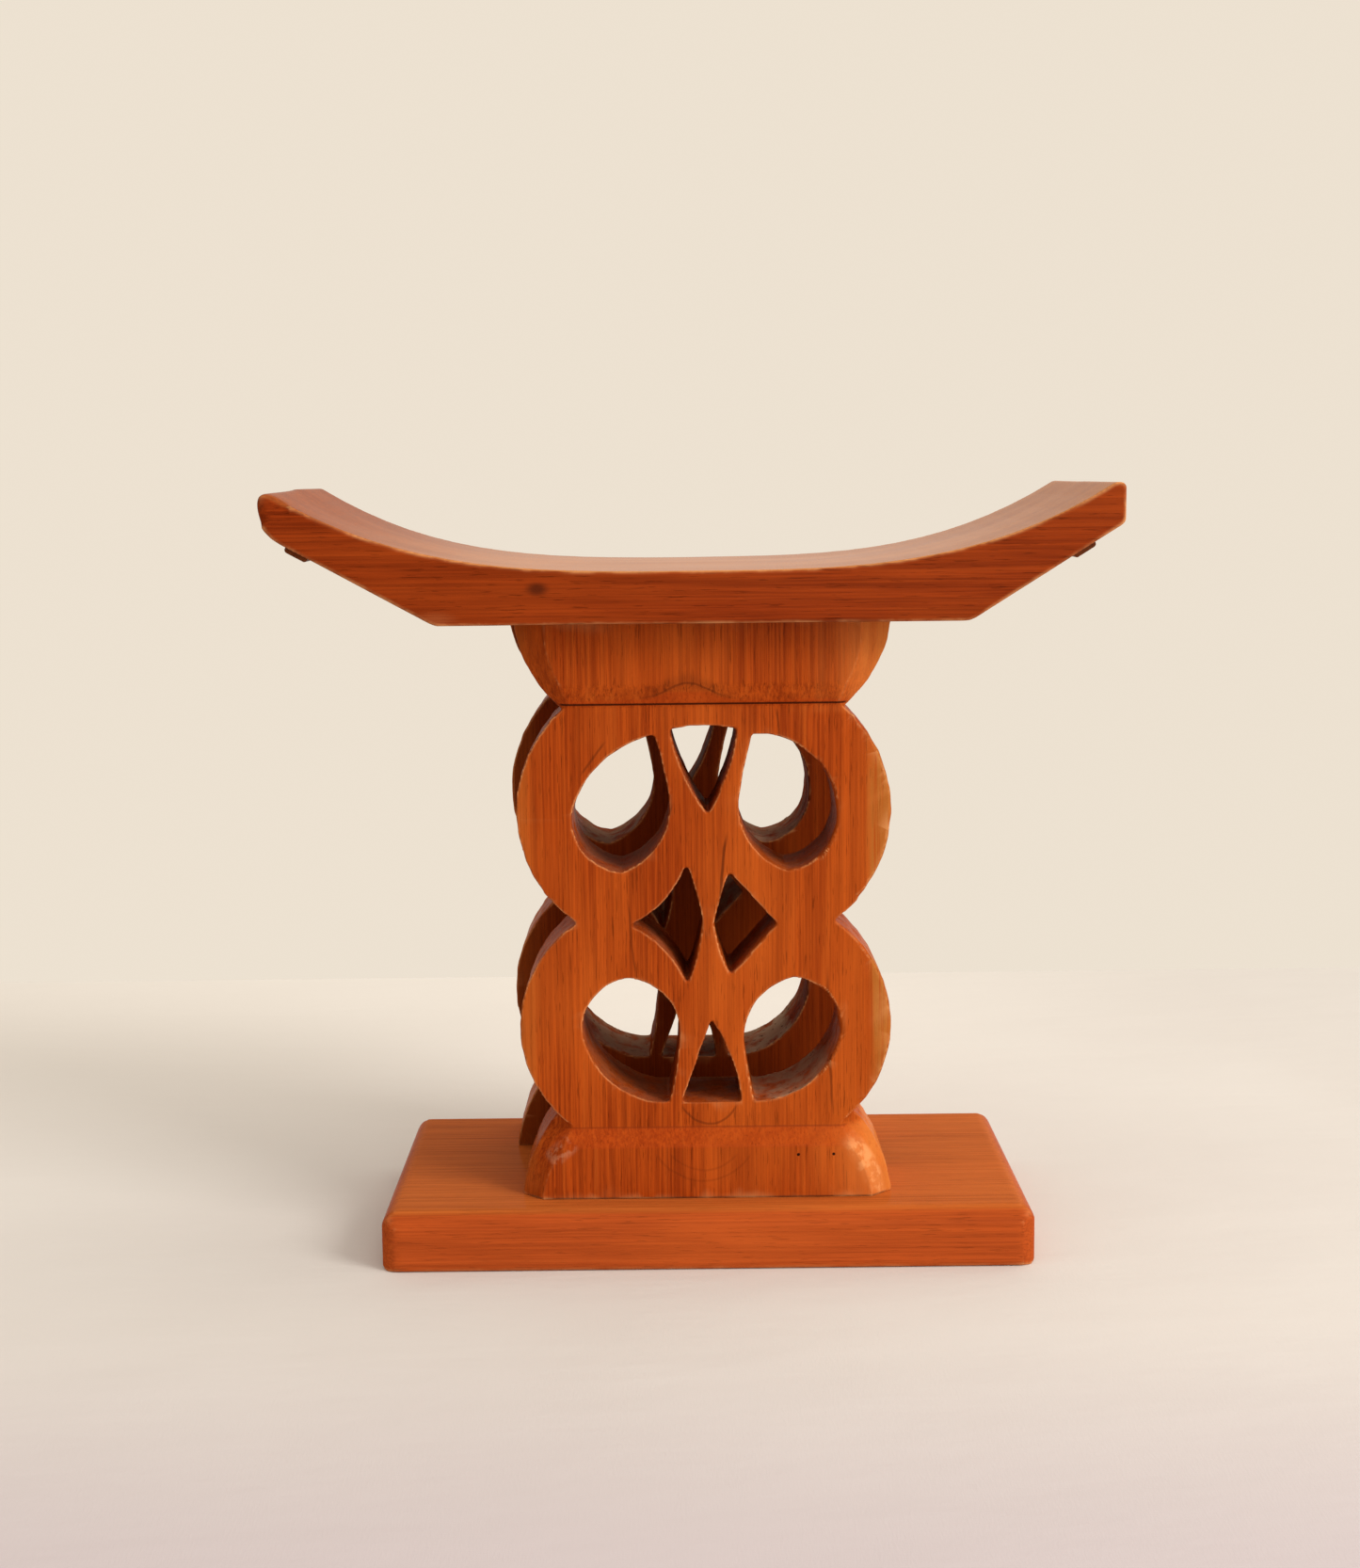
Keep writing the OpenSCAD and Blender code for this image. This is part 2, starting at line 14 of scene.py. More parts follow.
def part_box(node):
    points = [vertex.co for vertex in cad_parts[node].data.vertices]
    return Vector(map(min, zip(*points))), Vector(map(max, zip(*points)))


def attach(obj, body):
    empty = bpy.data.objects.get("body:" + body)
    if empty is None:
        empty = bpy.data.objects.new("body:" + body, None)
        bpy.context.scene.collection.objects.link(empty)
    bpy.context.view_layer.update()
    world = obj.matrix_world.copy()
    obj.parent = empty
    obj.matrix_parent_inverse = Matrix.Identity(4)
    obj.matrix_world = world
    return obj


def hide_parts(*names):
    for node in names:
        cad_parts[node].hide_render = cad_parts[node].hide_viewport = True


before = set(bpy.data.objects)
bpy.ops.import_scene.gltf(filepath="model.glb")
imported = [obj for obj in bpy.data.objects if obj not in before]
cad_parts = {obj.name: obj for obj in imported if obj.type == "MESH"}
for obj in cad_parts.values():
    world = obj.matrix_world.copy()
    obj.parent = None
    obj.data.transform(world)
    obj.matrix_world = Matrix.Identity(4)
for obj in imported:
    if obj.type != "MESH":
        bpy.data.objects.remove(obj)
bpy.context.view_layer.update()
MM = 0.001

# %% [markdown]
# ## The camera
# The stool is looked at from a little above its seat. A lens of 54 mm on a 36 mm frame is close to
# what the eye sees, so the base looks only slightly wider than it would from far away. The camera
# could aim at the stool with a constraint, but three small turns are easier to read and to repeat.

# %% Set up the camera
LENS, SENSOR = 54.02, 36
EYE = Vector((-8.8, -1312.5, 421.8)) * MM
LOOK_DOWN, TURN, TILT = 7.55, -0.1, -0.6
NEAREST, FARTHEST = 0.05, 50

camera = bpy.data.objects.new("camera", bpy.data.cameras.new("camera"))
bpy.context.scene.collection.objects.link(camera)
camera.data.lens, camera.data.sensor_width = LENS, SENSOR
camera.data.sensor_fit = "AUTO"
camera.data.clip_start, camera.data.clip_end = NEAREST, FARTHEST
camera.location = EYE
down = Euler((math.radians(90 - LOOK_DOWN), 0, 0)).to_matrix()
turn = Matrix.Rotation(math.radians(TURN), 3, "Z")
tilt = Matrix.Rotation(math.radians(TILT), 3, "Z")
camera.rotation_mode = "QUATERNION"
camera.rotation_quaternion = (turn @ down @ tilt).to_quaternion()
bpy.context.scene.camera = camera
bpy.context.scene.view_settings.view_transform = "Standard"
print("the camera stands", round(EYE.length, 2), "m from the stool's foot")

# %% [markdown]
# ## Writing shaders as sums
# A finish is easier to read as arithmetic than as boxes and wires. It could be wired by hand in the
# shader editor, but a sum such as `fibre * 0.5 + thread` says at a glance what is added to what.
# `Value` wraps one socket and adds a Math node for each sign in an expression.

# %% Sockets that add, multiply and compare
class Value:
    """One output socket of a node net, which can be used in sums."""

    def __init__(self, net, socket):
        self.net, self.socket = net, socket

    def math(self, operation, *others):
        """A Math node on this value and any others."""
        inputs = dict(enumerate((self, *others)))
        return self.net.node("ShaderNodeMath", {"operation": operation}, inputs)

    def __add__(self, other):
        return self.math("ADD", other)

    def __mul__(self, other):
        return self.math("MULTIPLY", other)

    __radd__, __rmul__ = __add__, __mul__

    def __sub__(self, other):
        return self.math("SUBTRACT", other)

    def __rsub__(self, other):
        return (self * -1) + other

    def __truediv__(self, other):
        return self.math("DIVIDE", other)

    def __pow__(self, other):
        return self.math("POWER", other)

    def __abs__(self):
        return self.math("ABSOLUTE")

    def step(self, low, high):
        """0 below low and 1 above high, with a smooth rise between them."""
        settings = {"interpolation_type": "SMOOTHSTEP"}
        inputs = {"Value": self, "From Min": low, "From Max": high}
        return self.net.node("ShaderNodeMapRange", settings, inputs)


# %% [markdown]
# ## One maker for every node
# All nodes of a finish sit in one net. `Net.node` makes any kind of node: its settings are set
# first, then its sockets are given numbers or links. The short methods after it are the few tools
# that every finish needs: the place on the piece, a noise, a mix of two colours, a stroke and a
# spot.

# %% A net of nodes for one finish
def opaque(colour):
    """A colour with an alpha of 1, or a value as it is."""
    return colour if isinstance(colour, Value) else (*colour, 1)


class Net:
    """The nodes of one material or world."""

    def __init__(self, owner):
        owner.use_nodes = True
        self.tree = owner.node_tree
        self.tree.nodes.clear()

    def node(self, kind, settings=None, inputs=None, out=None):
        """Makes a node of any kind and returns one of its outputs."""
        made = self.tree.nodes.new(kind)
        for name, value in (settings or {}).items():
            setattr(made, name, value)
        for key, value in (inputs or {}).items():
            if isinstance(value, Value):
                self.tree.links.new(value.socket, made.inputs[key])
            else:
                made.inputs[key].default_value = value
        if not made.outputs:
            return made
        enabled = [s for s in made.outputs if s.enabled]
        return Value(self, made.outputs[out] if out else enabled[0])

    def place(self):
        """Object coordinates, in metres, since every piece's object is at the origin."""
        return self.node("ShaderNodeTexCoord", out="Object")

    def stretched(self, point, scale):
        """The point with each axis scaled: a large scale makes a pattern short that way."""
        return self.node("ShaderNodeMapping", None, {"Vector": point, "Scale": scale})

    def noise(self, point, scale=1.0, detail=3.0, rough=0.55):
        """Soft noise around 0.5."""
        return self.node("ShaderNodeTexNoise", None,
                         {"Vector": point, "Scale": scale, "Detail": detail, "Roughness": rough})

    def axis(self, point, name):
        """One coordinate of a point or a normal."""
        return self.node("ShaderNodeSeparateXYZ", None, {"Vector": point}, name)

    def mix(self, share, a, b):
        """Colour a, with a share of b mixed in."""
        inputs = {0: share, 6: opaque(a), 7: opaque(b)}
        return self.node("ShaderNodeMix", {"data_type": "RGBA"}, inputs)

    def stroke(self, across, up, start, end, width):
        """1 on a line from start to end and 0 outside it, thinner towards its ends."""
        run, rise = end[0] - start[0], end[1] - start[1]
        length = math.hypot(run, rise)
        run, rise = run / length, rise / length
        east, north = across - start[0], up - start[1]
        along = (east * run + north * rise) / length
        aside = abs(east * rise - north * run)
        taper = along.step(-0.02, 0.2) * (1 - along.step(0.8, 1.02))
        return (1 - aside.step(width * 0.35, width)) * taper

    def spot(self, across, up, centre, radius, soft=0.5):
        """1 inside a small circle, with a soft edge."""
        east, north = across - centre[0], up - centre[1]
        reach = (east * east + north * north) ** 0.5
        return 1 - reach.step(radius * (1 - soft), radius)


# %% [markdown]
# ## The floor
# The stool stands on a cream cotton sheet in a plain room. The sheet could be a cloth simulation,
# but one flat plane with a fine bump for the weave and a broad one for the creases is enough, since
# only the stool should draw the eye. Its colour is painted darker at the front as painted shade and
# paler at the far left as painted light.

# %% The sheet on the floor
FLOOR_W, FLOOR_D, FLOOR_BACK = 6, 4, 0.64

bpy.ops.object.select_all(action="DESELECT")
bpy.ops.mesh.primitive_plane_add(size=1, location=(0, 0, 0))
floor = bpy.context.object
floor.name = "floor_sheet"
bpy.ops.transform.resize(value=(FLOOR_W, FLOOR_D, 1))
bpy.ops.transform.translate(value=(0, FLOOR_BACK - FLOOR_D / 2, 0))
bpy.ops.object.transform_apply(location=True, rotation=True, scale=True)
print("the sheet is", FLOOR_W, "by", FLOOR_D, "m and ends", FLOOR_BACK, "m behind the middle")

# %% Woven cotton
cotton = bpy.data.materials.new("cotton_sheet")
net = Net(cotton)
here = net.place()
thread_x = net.noise(net.stretched(here, (900, 160, 1)))
thread_y = net.noise(net.stretched(here, (160, 900, 1)))
creases = net.noise(net.stretched(here, (5, 14, 1)), detail=4.0)
tone = net.noise(here, 3.0)
deep = net.axis(here, "Y")
# painted shade at the front of the sheet, and painted light at its far left
near = 1 - deep.step(-0.5, -0.15)
painted_light_far_left = deep.step(-0.1, 0.6) * (1 - net.axis(here, "X").step(-0.1, 0.6))
colour = net.mix(tone.step(0.3, 0.7), (0.69, 0.66, 0.635), (0.72, 0.695, 0.67))
colour = net.mix(near, colour, (0.57, 0.515, 0.54))
colour = net.mix(painted_light_far_left, colour, (0.82, 0.79, 0.75))
weave = thread_x * 0.5 + thread_y * 0.5
bump = net.node("ShaderNodeBump", None,
                {"Strength": 0.35, "Distance": 0.001, "Height": weave * 0.4 + creases * 6})
shader = net.node("ShaderNodeBsdfPrincipled", None,
                  {"Base Color": colour, "Roughness": 0.95, "Specular IOR Level": 0.1,
                   "Normal": bump})
net.node("ShaderNodeOutputMaterial", None, {"Surface": shader})
floor.data.materials.append(cotton)
print("the sheet's finish has", len(cotton.node_tree.nodes), "nodes")

# %% [markdown]
# ## The light
# A large soft lamp at the front right lights the right edges, and the left sides fall into a soft
# shade. A weak one near the floor opens the shade under the seat. The room itself could be white
# walls, but a background that glows more from the right, from behind and from above does the same
# without any walls to model. The camera sees that background as one plain cream.

# %% The soft studio
CREAM, ROOM_LIGHT = (0.845, 0.755, 0.635), (0.86, 0.78, 0.68)

world = bpy.data.worlds.new("studio")
bpy.context.scene.world = world
net = Net(world)
way = net.node("ShaderNodeTexCoord", out="Generated")
right = net.axis(way, "X").step(-0.7, 0.5)
behind = net.axis(way, "Y").step(-0.6, 0.3)
above = net.axis(way, "Z").step(0.25, 0.95)
glow = (right * 0.45 + 0.65) * (behind * 0.2 + 0.85) * (above * 0.3 + 1)
seen = net.node("ShaderNodeBackground", None, {"Color": opaque(CREAM), "Strength": 1.0})
lit = net.node("ShaderNodeBackground", None, {"Color": opaque(ROOM_LIGHT), "Strength": glow})
direct = net.node("ShaderNodeLightPath", out="Is Camera Ray")
both = net.node("ShaderNodeMixShader", None, {0: direct, 1: lit, 2: seen})
net.node("ShaderNodeOutputWorld", None, {"Surface": both})


def lamp(name, spot, aim, size, watts, colour):
    """A square soft lamp that looks at a point."""
    light = bpy.data.objects.new(name, bpy.data.lights.new(name, "AREA"))
    bpy.context.scene.collection.objects.link(light)
    light.data.size, light.data.energy, light.data.color = size, watts, colour
    light.location = spot
    light.rotation_mode = "QUATERNION"
    light.rotation_quaternion = (Vector(aim) - Vector(spot)).to_track_quat("-Z", "Y")
    print(name, "lamp of", watts, "W")


lamp("key", (2.8, -2.2, 2.15), (0, 0, 0.2), 1.6, 104, (1.0, 0.96, 0.9))
lamp("fill", (0.6, -2.6, 0.6), (0, 0, 0.1), 1.2, 10, (1.0, 0.93, 0.84))

# %% [markdown]
# ## Carving on a copy
# A hand tool never leaves a mathematically sharp edge. The planks could be built from new boxes with
# bevels, but their exact outlines are already in the frame. So each big piece starts as a copy of
# its solid, which is merged, remeshed into small even squares and smoothed a little. That eases
# every edge as sandpaper would, and the even squares can then be shaped anywhere.

# %% A copy on the bench
MERGE = 0.02 * MM


def bench_copy(node, name):
    """A merged copy of a frame node, alone on the bench."""
    bpy.ops.object.select_all(action="DESELECT")
    piece = bpy.data.objects.new(name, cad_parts[node].data.copy())
    bpy.context.scene.collection.objects.link(piece)
    piece.data.materials.clear()
    piece.select_set(True)
    bpy.context.view_layer.objects.active = piece
    bpy.ops.object.mode_set(mode="EDIT")
    bpy.ops.mesh.select_all(action="SELECT")
    bpy.ops.mesh.remove_doubles(threshold=MERGE)
    bpy.ops.object.mode_set(mode="OBJECT")
    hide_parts(node)
    return piece


def finish_with(piece, kind, **settings):
    """Adds a modifier to the piece and applies it."""
    bpy.context.view_layer.objects.active = piece
    bpy.ops.object.modifier_add(type=kind)
    modifier = piece.modifiers[-1]
    for name, value in settings.items():
        setattr(modifier, name, value)
    bpy.ops.object.modifier_apply(modifier=modifier.name)


def eased_copy(node, name, grid):
    """A copy with even squares of `grid` metres and eased edges."""
    piece = bench_copy(node, name)
    finish_with(piece, "REMESH", mode="VOXEL", voxel_size=grid, use_smooth_shade=True)
    print(piece.name, "has", len(piece.data.polygons), "squares")
    finish_with(piece, "SMOOTH", factor=0.5, iterations=2)
    return piece


# %% [markdown]
# ## Sanding, planing and finishing
# Hands and feet wear some edges more than others. Those are picked by their place and smoothed
# again, as with a sanding block. A slow random push makes the flats slightly uneven, as a plane and
# a chisel leave them. Sculpting would give the same by hand, but not the same twice. At the end the
# flattest triangles are merged, and whatever stands proud of the plank is planed off.

# %% Tools for shaping
def pick(piece, wanted):
    """Selects the vertices whose place and normal pass the test, and enters edit mode."""
    bpy.ops.object.select_all(action="DESELECT")
    piece.select_set(True)
    bpy.context.view_layer.objects.active = piece
    bpy.ops.object.mode_set(mode="EDIT")
    bpy.ops.mesh.select_mode(type="VERT")
    bpy.ops.mesh.select_all(action="DESELECT")
    bpy.ops.object.mode_set(mode="OBJECT")
    count = 0
    for vertex in piece.data.vertices:
        if wanted(vertex.co, vertex.normal):
            vertex.select = True
            count += 1
    bpy.ops.object.mode_set(mode="EDIT")
    return count


def sand(piece, wanted, rounds):
    """Rounds off what is picked, more with every round."""
    count = pick(piece, wanted)
    if count:
        bpy.ops.mesh.vertices_smooth(factor=0.5, repeat=rounds)
    bpy.ops.object.mode_set(mode="OBJECT")
    print("sanded", count, "points of", piece.name)


def uneven(piece, name, size, depth, group=""):
    """Pushes the surface in and out by up to half of depth, in waves of about `size`."""
    texture = bpy.data.textures.new(name, "CLOUDS")
    texture.noise_scale = size
    texture.noise_depth = 1
    finish_with(piece, "DISPLACE", texture=texture, texture_coords="LOCAL", strength=depth,
                mid_level=0.5, vertex_group=group)


# %% Tools for finishing
def thin_out(piece, most):
    """Merges the flattest triangles until at most `most` are left; edges keep theirs."""
    count = sum(len(face.vertices) - 2 for face in piece.data.polygons)
    if count > most:
        finish_with(piece, "DECIMATE", ratio=most / count)
    print(piece.name, "went from", count, "to", len(piece.data.polygons), "triangles")


def plane_flush(piece, node):
    """Planes off whatever stands out of the box that the exact solid fills."""
    low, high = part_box(node)
    for vertex in piece.data.vertices:
        vertex.co = [min(max(v, a), b) for v, a, b in zip(vertex.co, low, high)]
    piece.data.update()


def done(piece, material):
    """The piece rides on the stool and gets its finish."""
    piece.data.materials.append(material)
    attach(piece, "root")


# %% [markdown]
# ## Wood
# The boards, the seat and the base are cut from the same kind of red-orange hardwood. A picture of
# wood could be wrapped round each piece, but then the grain would not run through from face to face.
# A plank is a slice of a log, so its figure comes from rings around a far-off core: the distance
# from the core, bent by slow noise, makes the bands. Fibres are noise pulled long in the grain's
# direction, and pores are the darkest short bits of a finer one.

# %% The grain of a plank
RING_WIDTH = 8.5 * MM


def grain_scale(along, across_grain, with_grain):
    """Scales for a noise that is long in the grain's direction."""
    return tuple(with_grain if axis == along else across_grain for axis in "XYZ")


def plank_look(net, here, along, core, tones, gloss, coat, glaze):
    """The colour, height, roughness and varnish of bare grain, and the noises behind them."""
    dark, mid, light = tones

    def grain(across_grain, with_grain, **more):
        return net.noise(net.stretched(here, grain_scale(along, across_grain, with_grain)), **more)

    sides = [net.axis(here, a) - c for a, c in zip("XYZ", core) if a != along]
    reach = (sides[0] * sides[0] + sides[1] * sides[1]) ** 0.5
    wander = grain(9, 2.2, detail=2.0) * 0.045 + grain(40, 5, detail=2.0) * 0.004
    ring = (reach + wander) / RING_WIDTH
    late = ((ring * (2 * math.pi)).math("SINE") * 0.5 + 0.5) ** 3

    fibre = grain(820, 11, detail=4.0, rough=0.7)
    thread = grain(2200, 60, detail=2.0)
    blotch = grain(16, 5)
    streak = grain(230, 4, detail=3.0, rough=0.6)
    pores = grain(1000, 60, detail=2.0, rough=0.6)
    lines = grain(760, 5, detail=5.0, rough=0.75).step(0.50, 0.66)
    pore = pores.step(0.60, 0.68) * (streak * 0.9 + 0.2)

    colour = net.mix(fibre.step(0.36, 0.64), dark, mid)
    colour = net.mix(blotch.step(0.40, 0.72) * 0.6, colour, light)
    colour = net.mix(late * 0.3, colour, dark)
    colour = net.mix(streak.step(0.54, 0.74) * 0.3, colour, dark)
    colour = net.mix((1 - streak.step(0.30, 0.46)) * 0.35, colour, light)
    colour = net.mix(lines * 0.2, colour, tuple(v * 0.55 for v in dark))
    colour = net.mix(pore * 0.6, colour, tuple(v * 0.22 for v in dark))

    facing = net.node("ShaderNodeLayerWeight", None, {"Blend": 0.5}, "Facing")
    return {"colour": colour, "fibre": fibre, "blotch": blotch, "lines": lines,
            "height": thread * 0.25 + fibre * 0.5 - lines * 0.3 - pore * 0.9,
            "rough": (fibre - 0.5) * 0.2 + pore * 0.25 + (blotch - 0.5) * 0.15 + gloss,
            "varnish": (facing ** 8) * glaze + coat}


# %% [markdown]
# ## Varnish
# Old varnish is thin. It hardly shows where a face is looked at squarely, and veils the wood with
# light where it is seen at a low angle. A clear coat over the whole piece would shine everywhere, so
# the coat's weight follows the facing of the surface instead. Marks are small functions that change
# the look of a plank before its shader is made.

# %% One recipe for every plank
def wood(name, along, core, tones, marks=(), gloss=0.3, coat=0.04, glaze=0.4):
    """A varnished plank. tones are its dark, middle and light colours."""
    material = bpy.data.materials.new(name)
    net = Net(material)
    here = net.place()
    look = plank_look(net, here, along, core, tones, gloss, coat, glaze)
    for mark in marks:
        mark(net, here, look)

    waves = net.node("ShaderNodeBump", None,
                     {"Strength": 0.3, "Distance": 1.2 * MM,
                      "Height": net.noise(here, 45.0, detail=1.0)})
    bump = net.node("ShaderNodeBump", None,
                    {"Strength": 0.6, "Distance": 0.3 * MM, "Height": look["height"],
                     "Normal": waves})
    shader = net.node("ShaderNodeBsdfPrincipled", None,
                      {"Base Color": look["colour"], "Roughness": look["rough"], "Normal": bump,
                       "Coat Weight": look["varnish"], "Coat Roughness": 0.2, "Coat IOR": 1.35,
                       "Specular IOR Level": 0.0})
    net.node("ShaderNodeOutputMaterial", None, {"Surface": shader})
    print(name, "has", len(material.node_tree.nodes), "nodes")
    return material


def tinted(look, net, share, colour):
    """Mixes a share of one colour into the look."""
    look["colour"] = net.mix(share, look["colour"], colour)


def edge_wear_highlight_and_crease_shade(net, here, look):
    """Handled edges lose their stain in patches and get a painted highlight; creases get painted
    shade.
    """
    sharp = net.node("ShaderNodeNewGeometry", out="Pointiness")
    patches = net.noise(here, 60.0, detail=3.0).step(0.35, 0.6)
    edge, painted_crease_shade = sharp.step(0.51, 0.57), 1 - sharp.step(0.40, 0.485)
    # edges: wear in patches plus a painted highlight
    tinted(look, net, edge * (patches * 0.5 + 0.15), (0.80, 0.38, 0.15))
    # painted shade in the creases
    tinted(look, net, painted_crease_shade * 0.6, (0.05, 0.012, 0.004))


# %% [markdown]
# ## The boards' wood
# The boards stand with upright grain. Each was cut from near the outside of the log, so a strip of
# yellow sapwood runs up the right edge, and a fainter one up the left. The right ends of the capital
# and the foot get painted light. The sawn walls of the holes took less varnish and got dustier: they
# are greyer and rougher, darker further back as painted shade, with a painted sheen on the hole
# floors. The faces towards the space between the boards get painted shade. All of it could be
# painted by hand. Masks made from the place and the normal do it for both boards at once.

# %% Sapwood and painted light
column_low, column_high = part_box("front_board")
column_x = (column_low.x + column_high.x) / 2
CAPITAL_FOOT, FOOT_TOP = (0.293, 0.297), (0.068, 0.072)


def sapwood_and_painted_light(net, here, look):
    """Yellow sapwood at the two outer edges of a board.
    The right ends of the capital and the foot get painted light.
    """
    side, up = net.axis(here, "X") - column_x, net.axis(here, "Z")
    wander = net.noise(net.stretched(here, (90, 60, 6)), detail=4.0) - 0.5
    edge = side + wander * 0.03
    right, left = edge.step(0.086, 0.095), (edge * -1).step(0.088, 0.100)
    ends = up.step(*CAPITAL_FOOT) + (1 - up.step(*FOOT_TOP))
    tinted(look, net, right * look["fibre"].step(0.3, 0.55), (0.40, 0.125, 0.022))
    tinted(look, net, left * 0.45, (0.42, 0.11, 0.018))
    # painted light: the right ends of the capital and the foot are made paler
    tinted(look, net, (side + wander * 0.05).step(0.05, 0.10) * ends * 0.6, (0.70, 0.20, 0.04))


print("the column's middle is", round(column_x / MM, 1), "mm right of the seat's middle")

# %% Sawn walls, painted shade and sheen
PANEL_FRONT, GAP_MIDDLE = -0.074, 0.003


def sawn_walls_with_shade_and_sheen(net, here, look):
    """Dull mottled wood where the saw and the chisel cut through the board.
    The walls get darker further back from the front as painted shade, the hole floors are dusty with
    a painted sheen, and the faces towards the space between the boards get painted shade.
    """
    out = net.node("ShaderNodeNewGeometry", out="Normal")
    side, deep, up = (net.axis(here, name) for name in "XYZ")
    wall = 1 - abs(net.axis(out, "Y")).step(0.35, 0.8)
    dull = wall * (1 - abs(side - column_x).step(0.066, 0.074))
    mottle = net.noise(net.stretched(here, (90, 60, 90)), detail=3.0)
    # painted shade: the walls get darker the further back they are from the front face
    painted_shade_deeper = (deep - PANEL_FRONT).step(0.003, 0.03)
    tinted(look, net, dull * (mottle.step(0.35, 0.65) * 0.4 + 0.25) * (painted_shade_deeper * 0.7 + 0.3),
           (0.16, 0.038, 0.010))

    on_back_board = deep.step(0.0, 0.02)
    low_right = (side - column_x).step(0.02, 0.04) * (1 - up.step(0.10, 0.13))
    # dusty, with a painted sheen: upward walls get paler, most on the back board and low on the
    # right
    dust_and_sheen = net.axis(out, "Z").step(0.2, 0.8) * dull
    dust_and_sheen = dust_and_sheen * (on_back_board * 0.6 + low_right * 0.75 + 0.12)
    tinted(look, net, dust_and_sheen * mottle.step(0.3, 0.6) * 0.8, (0.42, 0.29, 0.19))
    nicks = net.noise(net.stretched(here, (330, 200, 330)), detail=2.0)
    tinted(look, net, dull * nicks.step(0.60, 0.72) * (dust_and_sheen * 0.4 + 0.25), (0.04, 0.014, 0.006))

    # painted shade: board faces towards the space between the boards are darkened
    painted_gap_shade = (abs(deep - GAP_MIDDLE) * -1).step(-0.031, -0.026)
    tinted(look, net, painted_gap_shade * (1 - wall) * 0.55, (0.10, 0.014, 0.003))
    look["height"] = look["height"] + dull * (mottle * 3 + nicks * 1.4)
    look["rough"] = look["rough"] + dull * 0.2
    look["varnish"] = look["varnish"] * (1 - dull * 0.8)


# %% [markdown]
# ## Marks on the front board
# Hand cutting leaves marks that no noise gives: the arch where the rings come out low on the
# capital, the circle that was scribed to lay out the spire, a few long pores and two small nail
# holes. Painted shade lines lie where the thick parts meet the panel and where the foot meets the
# base, and the foot's upper corners get painted highlights. They could be a painted picture. As
# strokes and spots on the coordinates they stay sharp, and each can be moved by its own numbers,
# which are metres from the stool's middle and from the floor.

# %% The arch and the painted shade lines
INKY = (0.10, 0.018, 0.004)
ARCH_X, ARCH_HALF, ARCH_FOOT, ARCH_RISE = -0.002, 0.014, 0.3035, 0.0085
REDDER = (0.3008, 0.306, 0.002)
# rows one, two and four are painted shade: under the capital's step, along the top of the foot and
# where the foot meets the base; row three is a redder foot top
SHADE_LINES_AND_FOOT_TONE = (
    # low edge, high edge, softness, share, colour
    (0.3001, 0.3008, 0.0004, 0.90, (0.03, 0.007, 0.003)),
    (0.0700, 0.0706, 0.0005, 0.45, INKY),
    (0.0610, 0.0695, 0.0020, 0.35, (0.40, 0.050, 0.007)),
    (0.0000, 0.0326, 0.0008, 0.70, (0.06, 0.02, 0.01)),
)


def band(value, low, high, soft):
    """1 between low and high."""
    return value.step(low - soft, low) * (1 - value.step(high, high + soft))


def front_place(net, here):
    """Across and up with a slight sway of the hand, and 1 on the panel's front alone."""
    sway = (net.noise(here, 30.0, detail=3.0) - 0.5) * 0.004
    front = 1 - (net.axis(here, "Y") - PANEL_FRONT).step(0.001, 0.004)
    return net.axis(here, "X") + sway, net.axis(here, "Z") + sway, front


def capital_arch(net, here, look):
    """A dark crest low on the capital, where the rings come out, and redder wood under it."""
    across, up, front = front_place(net, here)
    east = (across - ARCH_X) / ARCH_HALF
    crest = up - ARCH_FOOT - ((east * east) * -1).math("EXPONENT") * ARCH_RISE
    centre = (1 - abs(across - ARCH_X).step(0.010, 0.030)) * front
    tinted(look, net, band(crest, -0.0004, 0.0004, 0.0005) * centre * 0.5, INKY)
    tinted(look, net, band(crest, 0.0, 0.002, 0.006) * centre * (look["lines"] * 0.6 + 0.25), INKY)
    under = (1 - crest.step(-0.002, 0.0)) * band(net.axis(here, "Z"), *REDDER)
    tinted(look, net, under * front * 0.45, (0.36, 0.042, 0.005))


def shade_lines_and_foot_tone(net, here, look):
    """Painted shade lines under the capital, over the foot and at the base, and a redder foot top.
    """
    front, height = front_place(net, here)[2], net.axis(here, "Z")
    for low, high, soft, share, colour in SHADE_LINES_AND_FOOT_TONE:
        tinted(look, net, band(height, low, high, soft) * front * share, colour)


# %% Circles, pores, nail holes and painted highlights
CIRCLES = (
    # middle across and up, radius, height where the curve ends, share
    (0.007, 0.088, 0.016, 0.083, 0.50),
    (0.004, 0.072, 0.030, 0.058, 0.22),
    (0.004, 0.072, 0.024, 0.058, 0.22),
)
LONG_PORES = (
    # one end, other end, width, share
    ((0.018, 0.232), (0.013, 0.188), 0.0011, 0.75),
    ((-0.010, 0.248), (-0.021, 0.224), 0.0008, 0.5),
    ((0.045, 0.300), (0.047, 0.272), 0.0008, 0.5),
    ((-0.045, 0.282), (-0.060, 0.262), 0.0009, 0.5),
    ((-0.036, 0.196), (-0.031, 0.150), 0.0008, 0.5),
    ((0.072, 0.160), (0.074, 0.070), 0.0010, 0.6),
)
NAIL_HOLES, NAIL_HOLE_RADIUS = ((0.055, 0.0555), (0.074, 0.0555)), 0.0011


def scribed_circles(net, here, look):
    """The lower parts of three circles, scratched with a compass."""
    across, up, front = front_place(net, here)
    for x, z, radius, top, share in CIRCLES:
        east, north = across - x, up - z
        off_line = abs((east * east + north * north) ** 0.5 - radius)
        line = (1 - off_line.step(0.0003, 0.0009)) * (1 - up.step(top - 0.004, top))
        tinted(look, net, line * front * share, INKY)


